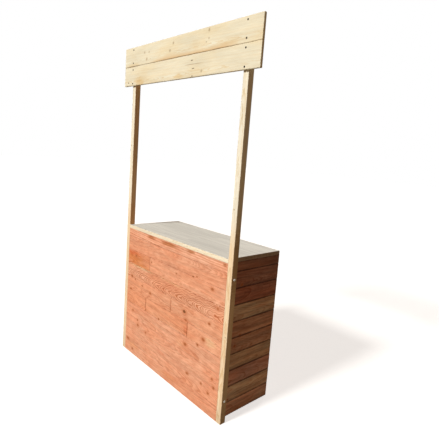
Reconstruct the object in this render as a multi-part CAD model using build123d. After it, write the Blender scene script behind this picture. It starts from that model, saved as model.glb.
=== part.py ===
from build123d import *

import math
import os

# Wooden market stall: a boarded counter between two tall posts, which carry a header of two boards
# over the serving opening. Millimetres, +Z up. The customer side faces -Y, left and right are as
# the customer sees them, and the origin is on the ground in the middle of the stall's outline.

# Counter panel of glued spruce, which sets the width and depth of the box under it
panel_length = 1200.0
panel_depth = 500.0
panel_thickness = 28.0
panel_round = 2.0
counter_height = 1106.0

# Posts of planed square timber at the front corners, outside the box and flush with its front
post_width = 44.0
post_depth = 44.0
post_height = 2500.0
post_round = 2.0

# Header of two boards, one over the other, on the front of the posts
header_board_width = 145.0
header_board_thickness = 18.0
header_board_round = 2.0
header_overhang = 100.0
header_rise = 20.0
header_joint = 1.0

# Cladding of tongue and groove boards that lie level, tongue up, in the same courses on three sides
board_thickness = 19.0
board_cover = 114.0
board_joint = 1.0
board_chamfer = 2.5
bottom_course = 102.0
tongue_length = 7.0
tongue_thickness = 6.0
tongue_clearance = 0.3

# Front courses made up of shorter lengths, counted from the ground, with the places of their end joints,
# which are tongued and grooved too
front_joint_shares = {5: (0.245, 0.7), 6: (0.527,), 8: (0.272,)}
end_joint = 2.0

# Square timber of the frame inside the box
frame_section = 44.0
frame_round = 2.0

# Planes and faces that the pieces share
outline_depth = panel_depth + header_board_thickness
front = header_board_thickness - outline_depth / 2
back = front + panel_depth
half_width = panel_length / 2
post_outside = half_width + post_width
underside = counter_height - panel_thickness
behind_front_boards = front + board_thickness
inside_side_boards = half_width - board_thickness
rail_bottom = underside - frame_section

# Spans of the frame's timber across the stall and from front to back
right_span = (inside_side_boards - frame_section, inside_side_boards)
left_span = (-inside_side_boards, frame_section - inside_side_boards)
middle_span = (-frame_section / 2, frame_section / 2)
front_span = (behind_front_boards, behind_front_boards + frame_section)
back_span = (back - frame_section, back)
between_sides = (left_span[1], right_span[0])
between_ends = (front_span[1], back_span[0])

# The groove takes the tongue with play at its sides, and the open joint is the play at its end
groove_depth = tongue_length
groove_thickness = tongue_thickness + tongue_clearance * 2
narrowest_course = groove_depth + board_thickness


def block(low, high):
    """Square-edged block between two corners."""
    size = [top - bottom for bottom, top in zip(low, high)]
    return Pos(*low) * Box(*size, align=(Align.MIN, Align.MIN, Align.MIN))


def timber(low, high, grain, edge_round):
    """Planed timber between two corners, with its edges along the grain rounded."""
    return fillet(block(low, high).edges().filter_by(grain), edge_round)


def course_edges():
    """Heights where one course of boards meets the next, from the ground to the panel."""
    room = underside - bottom_course
    count = math.ceil(room / board_cover)
    top_course = room - board_cover * (count - 1)
    taken_off = max(0, narrowest_course - top_course)
    first_seam = bottom_course - taken_off
    return [0] + [first_seam + board_cover * step for step in range(count)] + [underside]


def board_section(low, high, has_groove, has_tongue):
    """Cross-section of a board: its face on the local Y axis, its thickness along local X."""
    bottom = low + board_joint / 2 if has_groove else low
    top = high - board_joint / 2 if has_tongue else high
    middle = board_thickness / 2
    outline = []
    if has_groove:
        outline += [(board_chamfer, bottom), (0, bottom + board_chamfer)]
    else:
        outline += [(0, bottom)]
    if has_tongue:
        near = middle - tongue_thickness / 2
        far = middle + tongue_thickness / 2
        tip = top + tongue_length
        outline += [(0, top - board_chamfer), (board_chamfer, top)]
        outline += [(near, top), (near, tip), (far, tip), (far, top)]
    else:
        outline += [(0, top)]
    outline += [(board_thickness, top), (board_thickness, bottom)]
    if has_groove:
        near = middle - groove_thickness / 2
        far = middle + groove_thickness / 2
        end = bottom + groove_depth
        outline += [(far, bottom), (far, end), (near, end), (near, bottom)]
    return make_face(Polyline(*outline, close=True))


def band(thickness, low, high):
    """Cross-section of a tongue or groove in the middle of a board's thickness, between two heights."""
    near = (board_thickness - thickness) / 2
    far = (board_thickness + thickness) / 2
    return make_face(Polyline((near, low), (near, high), (far, high), (far, low), close=True))


def course_lengths(length, joint_shares):
    """Start and end of each length of board in a course, with an open joint where two meet."""
    starts = [0] + [length * share + end_joint / 2 for share in joint_shares]
    ends = [length * share - end_joint / 2 for share in joint_shares] + [length]
    return list(zip(starts, ends))


def course_boards(face_plane, low, high, has_groove, has_tongue, spans):
    """The lengths of board in one course, each with its tongue in the groove across the next one's end."""
    section = board_section(low, high, has_groove, has_tongue)
    end_tongue = band(tongue_thickness, low + groove_depth + board_joint, high)
    end_groove = band(groove_thickness, low, high + tongue_length)
    along = face_plane.z_dir
    boards = []
    for start, end in spans:
        board = extrude(face_plane.offset(start) * section, amount=end - start, dir=along)
        if start > spans[0][0]:
            board -= extrude(face_plane.offset(start) * end_groove, amount=groove_depth, dir=along)
        if end < spans[-1][1]:
            board += extrude(face_plane.offset(end) * end_tongue, amount=tongue_length, dir=along)
        boards.append(board)
    return boards


def clad(side, face_plane, length, joint_shares):
    """All boards of one side, from the ground up, as a dictionary of named pieces."""
    edges = course_edges()
    last = len(edges) - 2
    boards = {}
    for course in range(last + 1):
        spans = course_lengths(length, joint_shares.get(course + 1, ()))
        low, high = edges[course], edges[course + 1]
        lengths = course_boards(face_plane, low, high, course > 0, course < last, spans)
        boards[f"{side}_board_{course + 1:02d}"] = Part() + lengths
    return boards


def cladding():
    """Front boards between the posts, and side boards that butt against their backs."""
    side_length = back - behind_front_boards
    front_plane = Plane(origin=(-half_width, front, 0), x_dir=(0, 1, 0), z_dir=(1, 0, 0))
    left_plane = Plane(origin=(-half_width, back, 0), x_dir=(1, 0, 0), z_dir=(0, -1, 0))
    right_plane = Plane(origin=(half_width, behind_front_boards, 0), x_dir=(-1, 0, 0), z_dir=(0, 1, 0))
    boards = clad("front", front_plane, panel_length, front_joint_shares)
    boards |= clad("left", left_plane, side_length, {})
    boards |= clad("right", right_plane, side_length, {})
    return boards


def posts():
    """The two posts, from the ground to just under the top of the header."""
    post_back = front + post_depth
    left = timber((-post_outside, front, 0), (-half_width, post_back, post_height), Axis.Z, post_round)
    right = timber((half_width, front, 0), (post_outside, post_back, post_height), Axis.Z, post_round)
    return {"left_post": left, "right_post": right}


def header():
    """The two header boards, fixed to the front of both posts and reaching past them."""
    reach = post_outside + header_overhang
    face = front - header_board_thickness
    upper_top = post_height + header_rise
    upper_bottom = upper_top - header_board_width
    lower_top = upper_bottom - header_joint
    lower_bottom = lower_top - header_board_width
    upper = timber((-reach, face, upper_bottom), (reach, front, upper_top), Axis.X, header_board_round)
    lower = timber((-reach, face, lower_bottom), (reach, front, lower_top), Axis.X, header_board_round)
    return {"upper_header_board": upper, "lower_header_board": lower}


def counter_panel():
    """The counter panel, which covers the top edges of the boards, its upper edges rounded."""
    panel = block((-half_width, front, underside), (half_width, back, counter_height))
    return {"counter_panel": fillet(panel.faces().sort_by(Axis.Z)[-1].edges(), panel_round)}


def frame_timber(across, along, upright, grain):
    """Timber of the inner frame from its spans across the stall, from front to back and in height."""
    low, high = zip(across, along, upright)
    return timber(low, high, grain, frame_round)


def uprights():
    """Battens in the four inner corners and a stud behind the middle of the front boards."""
    full_height = (0, underside)
    return {
        "front_left_corner_batten": frame_timber(left_span, front_span, full_height, Axis.Z),
        "front_right_corner_batten": frame_timber(right_span, front_span, full_height, Axis.Z),
        "back_left_corner_batten": frame_timber(left_span, back_span, full_height, Axis.Z),
        "back_right_corner_batten": frame_timber(right_span, back_span, full_height, Axis.Z),
        "front_stud": frame_timber(middle_span, front_span, (0, rail_bottom), Axis.Z),
    }


def rails():
    """Level timber between the battens, under the panel and along the ground at the open back."""
    under_panel = (rail_bottom, underside)
    return {
        "front_top_rail": frame_timber(between_sides, front_span, under_panel, Axis.X),
        "back_top_rail": frame_timber(between_sides, back_span, under_panel, Axis.X),
        "left_top_rail": frame_timber(left_span, between_ends, under_panel, Axis.Y),
        "right_top_rail": frame_timber(right_span, between_ends, under_panel, Axis.Y),
        "back_bottom_rail": frame_timber(between_sides, back_span, (0, frame_section), Axis.X),
    }


pieces = posts() | header() | counter_panel() | cladding() | uprights() | rails()

os.makedirs("parts", exist_ok=True)
for name, piece in pieces.items():
    export_step(piece, os.path.join("parts", f"{name}.step"))
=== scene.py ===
"""Dresses the wooden market stall: boards, posts, header, counter panel, inner frame and screws."""

from __future__ import annotations

import logging
import math
import random
from collections.abc import Iterable, Mapping, Sequence
from dataclasses import dataclass, field
from enum import Enum

import bmesh
import bpy
from mathutils import Matrix, Vector


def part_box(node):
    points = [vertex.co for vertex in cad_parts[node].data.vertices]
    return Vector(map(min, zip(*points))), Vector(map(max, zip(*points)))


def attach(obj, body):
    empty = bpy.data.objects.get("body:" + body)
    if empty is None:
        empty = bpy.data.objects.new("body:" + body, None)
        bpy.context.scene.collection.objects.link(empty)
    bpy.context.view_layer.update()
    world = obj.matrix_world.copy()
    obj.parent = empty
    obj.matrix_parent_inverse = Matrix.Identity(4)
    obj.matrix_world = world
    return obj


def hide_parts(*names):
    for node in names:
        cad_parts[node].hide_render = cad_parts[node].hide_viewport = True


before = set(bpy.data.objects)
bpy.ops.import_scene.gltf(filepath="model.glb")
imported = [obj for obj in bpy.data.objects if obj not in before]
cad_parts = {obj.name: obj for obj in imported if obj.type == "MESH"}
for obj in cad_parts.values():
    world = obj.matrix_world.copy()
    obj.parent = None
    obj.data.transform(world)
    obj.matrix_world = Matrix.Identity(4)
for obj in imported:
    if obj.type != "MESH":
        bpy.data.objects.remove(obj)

LOG = logging.getLogger("market_stall")
BODY = "root"
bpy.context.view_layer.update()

Colour = tuple[float, float, float]
Point = tuple[float, float, float]
Span = tuple[float, float]
Socket = bpy.types.NodeSocket


class Axis(Enum):
    """Axes of the stall that a piece's grain can run along."""

    ACROSS = 0
    DEEP = 1
    UP = 2


class Tone(Enum):
    """Tints of the cladding boards, as multipliers of the fresh wood's colour. On the side walls they also
    hold painted light: paler low down, darker high up.
    """

    SALMON = (1.0, 1.0, 1.0)
    PINK = (0.99, 1.005, 1.04)
    PALE = (1.03, 1.08, 1.13)
    ROSY = (1.06, 1.17, 1.29)
    AMBER = (0.95, 0.87, 0.79)
    RUST = (0.985, 0.96, 0.93)
    DARK_RED = (0.45, 0.46, 0.52)
    MAROON = (0.52, 0.53, 0.64)
    CLARET = (0.58, 0.52, 0.59)
    RED_BROWN = (0.79, 0.91, 1.02)
    CHESTNUT = (0.88, 1.02, 1.34)
    TAN = (0.84, 1.22, 1.42)
    DRAB = (0.97, 1.46, 1.76)
    BROWN = (1.06, 1.38, 1.80)


class Side(Enum):
    """Boarded sides of the stall, by the words that their CAD nodes start with."""

    FRONT = "front"
    LEFT = "left"
    RIGHT = "right"


class Slot(Enum):
    """The record's material slots."""

    POSTS = "posts_and_header"
    PANEL = "counter_panel"
    CLADDING = "cladding_boards"
    FRAME = "inner_frame"
    SCREWS = "screws"


class KnotKind(Enum):
    """Knots that are sound wood, and dead ones that have gone black."""

    SOUND = "sound"
    DEAD = "dead"


@dataclass(frozen=True)
class Knot:
    """A knot on a flat face: its place along and up that face, its radius and its kind."""

    along: float
    up: float
    radius: float
    kind: KnotKind = KnotKind.SOUND
    stretch: float = 1.3


@dataclass(frozen=True)
class Patch:
    """A long tinted patch in a board's face, mostly stained wood, in a few places painted highlight: its
    middle, half length, half height, tint and strength.
    """

    along: float
    up: float
    half_length: float
    half_height: float
    tint: Colour
    strength: float = 0.6


@dataclass(frozen=True)
class Joint:
    """An end joint in a course of boards: its place along the face and the heights that it runs between."""

    along: float
    low: float
    high: float


@dataclass(frozen=True)
class Log:
    """Where in the trunk a piece was sawn: how far along, the pith's place, ring width, taper, contrast."""

    along: float
    depth: float
    across: float
    ring_width: float
    taper: float
    bold: float = 1.0


@dataclass(frozen=True)
class Species:
    """A kind of tree: the spans of its ring widths and taper, and of where in a trunk pieces are sawn."""

    ring_width: Span
    taper: Span
    pith_depth: Span = (0.03, 0.10)
    pith_across: Span = (-0.05, 0.05)
    trunk: Span = (0.0, 30.0)

    def sawn(self, draw: random.Random) -> Log:
        """Draws a flat-sawn place in a trunk of this kind.

        Args:
            draw: The seeded source of random numbers.

        Returns:
            The place.
        """
        depth = draw.choice((-1, 1)) * draw.uniform(*self.pith_depth)
        across = draw.uniform(*self.pith_across)
        along = draw.uniform(*self.trunk)
        return Log(along, depth, across, draw.uniform(*self.ring_width), draw.uniform(*self.taper))


@dataclass(frozen=True)
class Texture:
    """A noise: its cycles per metre along each coordinate, its octaves and the weight of the finer ones."""

    stretch: Point
    detail: float = 2.0
    roughness: float = 0.5


DEEP_BROWN = (0.56, 0.38, 0.20)
HONEY = (0.88, 0.72, 0.42)
ROSE = (0.92, 0.66, 0.56)
SAPWOOD_AND_HIGHLIGHT = (1.03, 1.30, 1.27)
OCHRE = (0.92, 0.76, 0.53)
RUBBED = (0.68, 0.61, 0.52)
LARCH = Species((0.0035, 0.0080), (0.015, 0.070))
SPRUCE = Species((0.0018, 0.0032), (0.008, 0.020))


class NodeKit:
    """Adds nodes to one tree and links them, so that a finish reads as a list of steps."""

    def __init__(self, tree: bpy.types.NodeTree) -> None:
        """Keeps the tree that the nodes go into."""
        self.tree = tree

    def feed(self, socket: Socket, value: object) -> None:
        """Links a socket to an input, or sets the input's own value.

        Args:
            socket: The input.
            value: The socket that feeds it, or its value. A colour is given without its alpha.
        """
        if isinstance(value, bpy.types.NodeSocket):
            self.tree.links.new(value, socket)
        elif socket.type == "RGBA":
            socket.default_value = (*value, 1.0)
        else:
            socket.default_value = value

    def add(
        self, kind: str, inputs: dict[str | int, object] | None = None, **settings: object
    ) -> bpy.types.Node:
        """Adds a node.

        Args:
            kind: Blender's name for the node type.
            inputs: Values or sockets for its inputs, by name or by number.
            settings: The node's own options, set before its inputs.

        Returns:
            The new node.
        """
        node = self.tree.nodes.new(kind)
        for name, value in settings.items():
            setattr(node, name, value)
        for key, value in (inputs or {}).items():
            self.feed(node.inputs[key], value)
        return node

    def math(self, operation: str, *values: object) -> Socket:
        """Adds a Math node and returns its result."""
        return self.add("ShaderNodeMath", dict(enumerate(values)), operation=operation).outputs[0]

    def vector(self, operation: str, *values: object) -> Socket:
        """Adds a Vector Math node and returns its vector."""
        node = self.add("ShaderNodeVectorMath", dict(enumerate(values)), operation=operation)
        return node.outputs["Vector"]

    def scaled(self, value: Socket, factor: object) -> Socket:
        """Returns a vector times a number."""
        node = self.add("ShaderNodeVectorMath", {0: value, "Scale": factor}, operation="SCALE")
        return node.outputs["Vector"]

    def length(self, value: Socket) -> Socket:
        """Adds a Vector Math node that measures a vector."""
        return self.add("ShaderNodeVectorMath", {0: value}, operation="LENGTH").outputs["Value"]

    def split(self, value: Socket) -> Sequence[Socket]:
        """Returns the three parts of a vector."""
        return self.add("ShaderNodeSeparateXYZ", {0: value}).outputs

    def join(self, *values: object) -> Socket:
        """Returns a vector made of three parts."""
        return self.add("ShaderNodeCombineXYZ", dict(enumerate(values))).outputs[0]

    def step(
        self, value: Socket, over: tuple[object, object], to: tuple[object, object] = (0.0, 1.0)
    ) -> Socket:
        """Steps smoothly from one result to another while the value passes over a span."""
        inputs = {"Value": value, "From Min": over[0], "From Max": over[1], "To Min": to[0], "To Max": to[1]}
        return self.add("ShaderNodeMapRange", inputs, interpolation_type="SMOOTHSTEP").outputs["Result"]

    def noise(self, where: Socket, texture: Texture) -> Socket:
        """Reads a noise as one value, about one half."""
        return self.clouds(where, texture).outputs["Fac"]

    def clouds(self, where: Socket, texture: Texture) -> bpy.types.Node:
        """Adds a noise texture.

        Args:
            where: The coordinates that it is read at.
            texture: Its scale and detail.

        Returns:
            The noise node, whose outputs are Fac and Color.
        """
        place = self.vector("MULTIPLY", where, texture.stretch)
        inputs = {"Vector": place, "Scale": 1.0, "Detail": texture.detail, "Roughness": texture.roughness}
        return self.add("ShaderNodeTexNoise", inputs)

    def swing(self, where: Socket, texture: Texture, reach: float) -> Socket:
        """Reads a noise that swings about zero, by up to a reach."""
        return self.math("MULTIPLY_ADD", self.noise(where, texture), 2.0 * reach, -reach)

    def times(self, colour: object, tint: object) -> Socket:
        """Returns a colour times a tint."""
        return self.mix(1.0, colour, tint, "MULTIPLY")

    def mix(self, factor: object, first: object, second: object, blend: str = "MIX") -> Socket:
        """Returns the second colour laid over the first by a factor."""
        inputs = {0: factor, 6: first, 7: second}
        return self.add("ShaderNodeMix", inputs, data_type="RGBA", blend_type=blend).outputs[2]


def new_group(name: str, kind: str, inputs: dict[str, str], outputs: dict[str, str]) -> bpy.types.NodeTree:
    """Makes a node group with named sockets.

    Args:
        name: The group's name.
        kind: Blender's name for the type of tree.
        inputs: Socket types by input name.
        outputs: Socket types by output name.

    Returns:
        The group, without nodes.
    """
    tree = bpy.data.node_groups.new(name, kind)
    for direction, sockets in (("INPUT", inputs), ("OUTPUT", outputs)):
        for label, socket in sockets.items():
            tree.interface.new_socket(label, in_out=direction, socket_type=socket)
    return tree


def new_material(name: str) -> tuple[bpy.types.Material, NodeKit]:
    """Makes a material without nodes.

    Args:
        name: Its name.
    """
    material = bpy.data.materials.new(name)
    material.use_nodes = True
    material.node_tree.nodes.clear()
    return material, NodeKit(material.node_tree)


@dataclass(frozen=True)
class Softwood:
    """How softwood grows: the textures and shares that shape its rings, streaks and fibres."""

    sway: Texture = Texture((0.9, 3.0, 3.0))
    ripple: Texture = Texture((12.0, 40.0, 40.0), 3.0, 0.6)
    ripple_share: float = 0.24
    spurts: Texture = Texture((5.0, 1.0, 1.0), 2.0, 0.6)
    spurt_length: float = 0.34
    knot_reach: float = 1.7
    knot_rings: float = 3.5
    late_rise: Span = (0.35, 0.88)
    late_end: Span = (1.0, 0.92)
    faintest_year: float = 0.3
    bands_a_ring: float = 0.31
    streaks: Texture = Texture((2.6, 18.0, 42.0), 3.0, 0.6)
    flecks: Texture = Texture((16.0, 90.0, 190.0))
    fleck_edge: Span = (0.60, 0.74)
    fibres: Texture = Texture((12.0, 420.0, 700.0), 2.0, 0.6)
    fibre_relief: float = 0.5

    def count_rings(self, kit: NodeKit, given: Mapping[str, Socket]) -> Socket:
        """Counts the rings from the pith out, with the trunk's sway and taper and the pull of knots.

        Args:
            kit: The group's nodes.
            given: The group's inputs.

        Returns:
            The number of rings, whose fraction is the time of year.
        """
        grain = given["Grain"]
        middle = (0.5, 0.5, 0.5)
        sway = kit.vector("SUBTRACT", kit.clouds(grain, self.sway).outputs["Color"], middle)
        ripple = kit.vector("SUBTRACT", kit.clouds(grain, self.ripple).outputs["Color"], middle)
        sway = kit.vector("ADD", sway, kit.scaled(ripple, self.ripple_share))
        bent = kit.vector("ADD", grain, kit.scaled(sway, given["Wander"]))
        radius = kit.length(kit.vector("MULTIPLY", bent, (0.0, 1.0, 1.0)))
        spurts = kit.noise(grain, self.spurts)
        along = kit.math("MULTIPLY_ADD", spurts, self.spurt_length, kit.split(grain)[0])
        radius = kit.math("MULTIPLY_ADD", along, given["Taper"], radius)
        pull = kit.math("POWER", kit.math("DIVIDE", given["Knots"], self.knot_reach), 2.0)
        pull = kit.math("EXPONENT", kit.math("MULTIPLY", pull, -1.0))
        rings = kit.math("DIVIDE", radius, given["Ring Width"])
        return kit.math("MULTIPLY_ADD", pull, self.knot_rings, rings)

    def build(self) -> bpy.types.NodeTree:
        """Builds the rings, streaks and fibres that all wood finishes share.

        Returns:
            A shader group that reads a piece's place in its trunk and the distance to the nearest knot.
        """
        plain = "NodeSocketFloat"
        inputs = {"Grain": "NodeSocketVector"}
        inputs |= {label: plain for label in ("Knots", "Ring Width", "Taper", "Wander")}
        outputs = {label: plain for label in ("Latewood", "Bands", "Streaks", "Flecks", "Fibres", "Relief")}
        tree = new_group("planed softwood", "ShaderNodeTree", inputs, outputs)
        kit = NodeKit(tree)
        given = kit.add("NodeGroupInput").outputs
        grain = given["Grain"]
        rings = self.count_rings(kit, given)
        phase = kit.math("FRACT", rings)
        count = {"W": kit.math("FLOOR", rings)}
        year = kit.add("ShaderNodeTexWhiteNoise", count, noise_dimensions="1D").outputs["Value"]
        weight = kit.math("MULTIPLY_ADD", year, 1.0 - self.faintest_year, self.faintest_year)
        late = kit.math("MULTIPLY", kit.step(phase, self.late_rise), kit.step(phase, self.late_end))
        late = kit.math("MULTIPLY", late, weight)
        slow = {"W": kit.math("MULTIPLY", rings, self.bands_a_ring), "Scale": 1.0, "Detail": 1.0}
        bands = kit.add("ShaderNodeTexNoise", slow, noise_dimensions="1D").outputs[0]
        flecks = kit.step(kit.noise(grain, self.flecks), self.fleck_edge)
        fibres = kit.noise(grain, self.fibres)
        relief = kit.math("MULTIPLY_ADD", fibres, self.fibre_relief, late)
        results = {"Latewood": late, "Bands": bands, "Streaks": kit.noise(grain, self.streaks)}
        kit.add("NodeGroupOutput", results | {"Flecks": flecks, "Fibres": fibres, "Relief": relief})
        return tree


@dataclass(frozen=True)
class GrimeAndShade:
    """Dirt and painted shade that gather in seams, and dirt that splashes up from the ground, in patches and
    specks. On the boards the seam darkening is painted shade in the V-grooves and joints as well as dirt.
    """

    patches: Texture = Texture((7.0, 7.0, 7.0), 4.0, 0.6)
    specks: Texture = Texture((60.0, 60.0, 60.0), 3.0, 0.6)
    patch_share: float = 0.9
    speck_share: float = 0.5
    seam_edge: Span = (0.15, 1.0)
    seam_gaps: Span = (0.35, 0.85)
    seam_shares: Span = (0.35, 1.0)
    splash_foot: float = 0.05
    splash_sway: float = 0.12
    splash_gaps: Span = (0.3, 0.7)
    splash_shares: Span = (0.4, 1.0)

    def build(self) -> bpy.types.NodeTree:
        """Builds the dirt and painted seam shade that all wood finishes share.

        Returns:
            A shader group that reads a piece's edge mask and its place on the stall.
        """
        plain = "NodeSocketFloat"
        inputs = {"Place": "NodeSocketVector", "Edge": plain, "Splash Height": plain}
        tree = new_group("seam and splash grime", "ShaderNodeTree", inputs, {"Seam": plain, "Splash": plain})
        kit = NodeKit(tree)
        given = kit.add("NodeGroupInput").outputs
        place = given["Place"]
        patches = kit.noise(place, self.patches)
        specks = kit.noise(place, self.specks)
        uneven = kit.math("MULTIPLY", patches, self.patch_share)
        uneven = kit.math("MULTIPLY_ADD", specks, self.speck_share, uneven)
        seam = kit.step(given["Edge"], self.seam_edge)
        seam = kit.math("MULTIPLY", seam, kit.step(uneven, self.seam_gaps, self.seam_shares))
        height = kit.math("MULTIPLY_ADD", patches, self.splash_sway, kit.split(place)[2])
        splash = kit.step(height, (given["Splash Height"], self.splash_foot))
        splash = kit.math("MULTIPLY", splash, kit.step(specks, self.splash_gaps, self.splash_shares))
        kit.add("NodeGroupOutput", {"Seam": seam, "Splash": splash})
        return tree


@dataclass(frozen=True)
class WoodFinish:
    """Planed wood: two ring colours, knots, stains, dirt with painted shade in the seams, and a dry surface.
    """

    name: str
    early: Colour
    late: Colour
    knots: tuple[Knot, ...] = ()
    knot_face: Axis = Axis.DEEP
    knot_colour: Colour = (0.34, 0.105, 0.030)
    halo_colour: Colour = (0.58, 0.19, 0.075)
    dead_colour: Colour = (0.22, 0.080, 0.028)
    knot_strength: float = 0.9
    halo_strength: float = 0.6
    knot_wobble: Texture = Texture((55.0, 55.0, 55.0))
    wobble_reach: float = 0.5
    clear_of_knots: float = 9.0
    halo_rim: Span = (2.6, 0.8)
    sound_rim: Span = (1.2, 0.6)
    dead_rim: Span = (1.1, 0.8)
    coils: float = 16.0
    coil_share: float = 0.2
    core_share: float = 0.3
    patches: tuple[Patch, ...] = ()
    patch_rim: Span = (1.25, 0.35)
    ragged: Texture = Texture((14.0, 14.0, 60.0), 3.0, 0.6)
    ragged_reach: float = 0.9
    wander: float = 0.030
    ring_contrast: float = 0.75
    band_contrast: float = 0.20
    band_edge: Span = (0.35, 0.75)
    streak_contrast: float = 0.16
    streak_edge: Span = (0.3, 0.7)
    fleck_contrast: float = 0.0
    fibre_edge: Span = (0.25, 0.75)
    fibre_shades: Span = (0.95, 1.04)
    # This dark colour darkens the seams, as dirt and painted shade, and the foot of the wood, as dirt.
    grime_and_shade: Colour = (0.10, 0.055, 0.030)
    seam_grime_and_shade: float = 0.5
    splash_grime: float = 0.25
    splash_height: float = 0.30
    roughness: float = 0.62
    rough_edge: Span = (0.2, 0.8)
    rough_spread: Span = (-0.06, 0.10)
    specular: float = 0.12
    relief: float = 0.0004
    relief_strength: float = 0.5

    def knot_distance(self, kit: NodeKit, place: Socket, kind: KnotKind) -> Socket:
        """Measures how far each point is from the nearest knot of a kind.

        Args:
            kit: The material's nodes.
            place: Coordinates on the stall.
            kind: Which knots count.

        Returns:
            The distance in knot radii.
        """
        distance: Socket | float = self.clear_of_knots
        for knot in self.knots:
            if knot.kind is kind:
                long, tall = 1.0 / (knot.radius * knot.stretch), 1.0 / knot.radius
                if self.knot_face is Axis.DEEP:
                    centre, stretch = (knot.along, 0.0, knot.up), (long, 0.0, tall)
                else:
                    centre, stretch = (0.0, knot.along, knot.up), (0.0, long, tall)
                away = kit.vector("MULTIPLY", kit.vector("SUBTRACT", place, centre), stretch)
                distance = kit.math("MINIMUM", kit.length(away), distance)
        return kit.math("ADD", distance, kit.swing(place, self.knot_wobble, self.wobble_reach))

    def figure(self, kit: NodeKit, wood: Mapping[str, Socket], bold: Socket) -> Socket:
        """Colours the rings, bands, flecks, streaks and fibres.

        Args:
            kit: The material's nodes.
            wood: The outputs of the shared group.
            bold: How strongly the piece's rings show.

        Returns:
            The figured colour.
        """
        late = kit.math("MULTIPLY", wood["Latewood"], self.ring_contrast)
        colour = kit.mix(kit.math("MULTIPLY", late, bold), self.early, self.late)
        bands = kit.step(wood["Bands"], self.band_edge, (0.0, self.band_contrast))
        colour = kit.mix(bands, colour, self.late)
        colour = kit.mix(kit.math("MULTIPLY", wood["Flecks"], self.fleck_contrast), colour, self.late)
        shades = (1.0 - self.streak_contrast, 1.0 + self.streak_contrast / 2)
        shade = kit.step(wood["Streaks"], self.streak_edge, shades)
        shade = kit.math("MULTIPLY", shade, kit.step(wood["Fibres"], self.fibre_edge, self.fibre_shades))
        return kit.times(colour, kit.join(shade, shade, shade))

    def tint(self, kit: NodeKit, colour: Socket, place: Socket) -> Socket:
        """Colours the wood beyond its rings; plain wood stays as it is."""
        return colour

    def lay_patches(self, kit: NodeKit, colour: Socket, place: Socket) -> Socket:
        """Tints the wood in patches with ragged edges along the grain: mostly stained wood, in a few places
        painted highlight.

        Args:
            kit: The material's nodes.
            colour: The wood's colour so far.
            place: Coordinates on the stall.

        Returns:
            The stained colour.
        """
        if not self.patches:
            return colour
        ragged = kit.swing(place, self.ragged, self.ragged_reach)
        for patch in self.patches:
            stretch = (1.0 / patch.half_length, 0.0, 1.0 / patch.half_height)
            away = kit.vector("SUBTRACT", place, (patch.along, 0.0, patch.up))
            away = kit.math("ADD", kit.length(kit.vector("MULTIPLY", away, stretch)), ragged)
            share = kit.step(away, self.patch_rim, (0.0, patch.strength))
            colour = kit.mix(share, colour, kit.times(colour, patch.tint))
        return colour

    def mark_knots(self, kit: NodeKit, colour: Socket, sound: Socket, dead: Socket) -> Socket:
        """Lays the knots over the wood, each in a halo.

        Args:
            kit: The material's nodes.
            colour: The wood's colour so far.
            sound: The distance from the nearest sound knot.
            dead: The distance from the nearest dead knot.

        Returns:
            The knotted colour.
        """
        halo = kit.step(kit.math("MINIMUM", sound, dead), self.halo_rim, (0.0, self.halo_strength))
        colour = kit.mix(halo, colour, self.halo_colour)
        coil = kit.math("SINE", kit.math("MULTIPLY", sound, self.coils))
        coil = kit.math("MULTIPLY_ADD", coil, self.coil_share, self.core_share)
        core = kit.mix(coil, self.knot_colour, self.late)
        colour = kit.mix(kit.step(sound, self.sound_rim, (0.0, self.knot_strength)), colour, core)
        return kit.mix(kit.step(dead, self.dead_rim), colour, self.dead_colour)

    def soil_and_shade(self, kit: NodeKit, colour: Socket, place: Socket, grime_and_shade: bpy.types.NodeTree) -> Socket:
        """Darkens the seams with dirt and painted shade, and dirties the foot of the wood.

        Args:
            kit: The material's nodes.
            colour: The wood's colour so far.
            place: Coordinates on the stall.
            grime_and_shade: The shared group of dirt and painted seam shade.

        Returns:
            The dirtied colour.
        """
        edge = kit.add("ShaderNodeAttribute", attribute_name="edge").outputs["Fac"]
        values = {"Place": place, "Edge": edge, "Splash Height": self.splash_height}
        dirt = kit.add("ShaderNodeGroup", values, node_tree=grime_and_shade).outputs
        # The seam darkening is dirt and painted shade in the grooves; the splash is dirt.
        for label, strength in (("Seam", self.seam_grime_and_shade), ("Splash", self.splash_grime)):
            colour = kit.mix(kit.math("MULTIPLY", dirt[label], strength), colour, self.grime_and_shade)
        return colour

    def build(self, softwood: bpy.types.NodeTree, grime_and_shade: bpy.types.NodeTree) -> bpy.types.Material:
        """Builds the material.

        Args:
            softwood: The shared group of rings and fibres.
            grime_and_shade: The shared group of dirt and painted seam shade.

        Returns:
            The finished material.
        """
        material, kit = new_material(self.name)
        grain = kit.add("ShaderNodeAttribute", attribute_name="grain").outputs["Vector"]
        rings = kit.split(kit.add("ShaderNodeAttribute", attribute_name="rings").outputs["Vector"])
        place = kit.add("ShaderNodeTexCoord").outputs["Object"]
        sound = self.knot_distance(kit, place, KnotKind.SOUND)
        dead = self.knot_distance(kit, place, KnotKind.DEAD)
        values = {"Grain": grain, "Knots": kit.math("MINIMUM", sound, dead), "Wander": self.wander}
        values |= {"Ring Width": rings[0], "Taper": rings[1]}
        wood = kit.add("ShaderNodeGroup", values, node_tree=softwood).outputs
        colour = self.tint(kit, self.figure(kit, wood, rings[2]), place)
        colour = self.lay_patches(kit, colour, place)
        colour = self.mark_knots(kit, colour, sound, dead)
        colour = self.soil_and_shade(kit, colour, place, grime_and_shade)

        spread = tuple(self.roughness + change for change in self.rough_spread)
        rough = kit.step(wood["Fibres"], self.rough_edge, spread)
        raised = {"Strength": self.relief_strength, "Distance": self.relief, "Height": wood["Relief"]}
        normal = kit.add("ShaderNodeBump", raised).outputs["Normal"]
        surface = {"Base Color": colour, "Roughness": rough, "Normal": normal}
        shader = kit.add("ShaderNodeBsdfPrincipled", surface)
        shader.inputs["Specular IOR Level"].default_value = self.specular
        kit.add("ShaderNodeOutputMaterial", {"Surface": shader.outputs[0]})
        return material


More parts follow.
